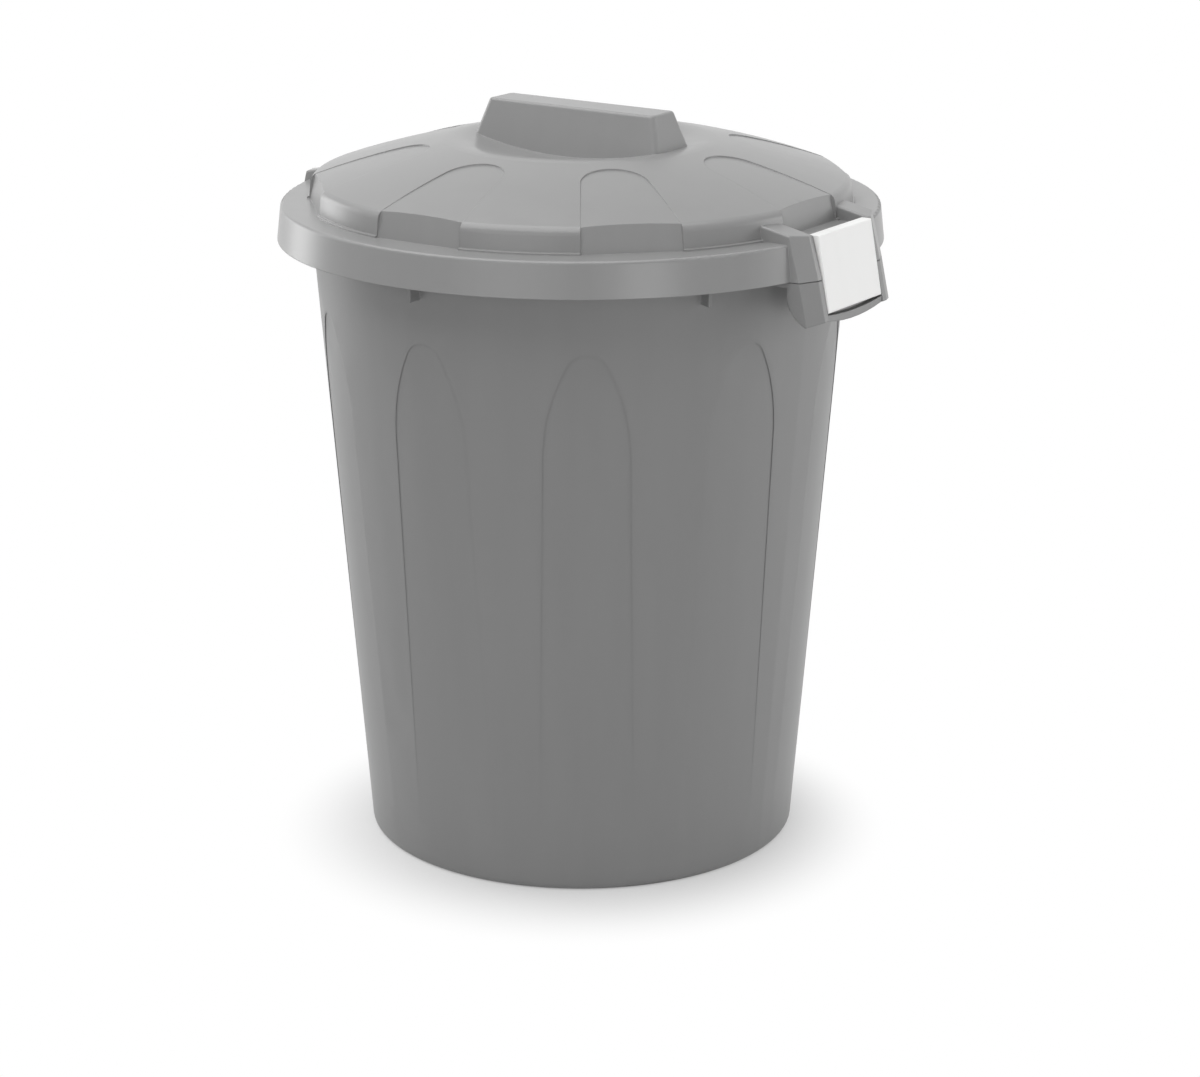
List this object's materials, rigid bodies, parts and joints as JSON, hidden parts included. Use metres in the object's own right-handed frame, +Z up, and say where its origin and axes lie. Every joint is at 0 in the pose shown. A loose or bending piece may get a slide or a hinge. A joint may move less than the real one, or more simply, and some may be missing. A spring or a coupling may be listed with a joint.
{
  "type": "lidded waste bin",
  "caption": "Round tapered waste bin with a domed lift-off lid, a moulded grip across its top and hinged side clips over the bin's carrying handles.",
  "frame": {"origin": "middle of the foot ring, on the floor", "axes": "+Z up through the grip, +X through the right-hand clip, +Y completes the right-handed frame"},
  "size_m": [0.4808, 0.4558, 0.5635],
  "materials": {
    "grey_plastic": "moulded polypropylene, satin",
    "white_plastic": "moulded polypropylene, satin"
  },
  "bodies": {
    "bin": {"bin_body": "grey_plastic"},
    "lid": {"lid": "grey_plastic"},
    "clip_right": {"clip_right": "white_plastic"},
    "clip_left": {"clip_left": "white_plastic"}
  },
  "joints": [
    {"name": "lid_lift", "type": "slide", "parent": "bin", "child": "lid", "axis": [0, 0, 1], "range_m": [0, 0.15]},
    {"name": "clip_right_hinge", "type": "hinge", "parent": "lid", "child": "clip_right", "pos_m": [0.2216, 0, 0.4947], "axis": [0, -1, 0], "range_deg": [0, 135]},
    {"name": "clip_left_hinge", "type": "hinge", "parent": "lid", "child": "clip_left", "pos_m": [-0.2216, 0, 0.4947], "axis": [0, 1, 0], "range_deg": [0, 135]}
  ]
}
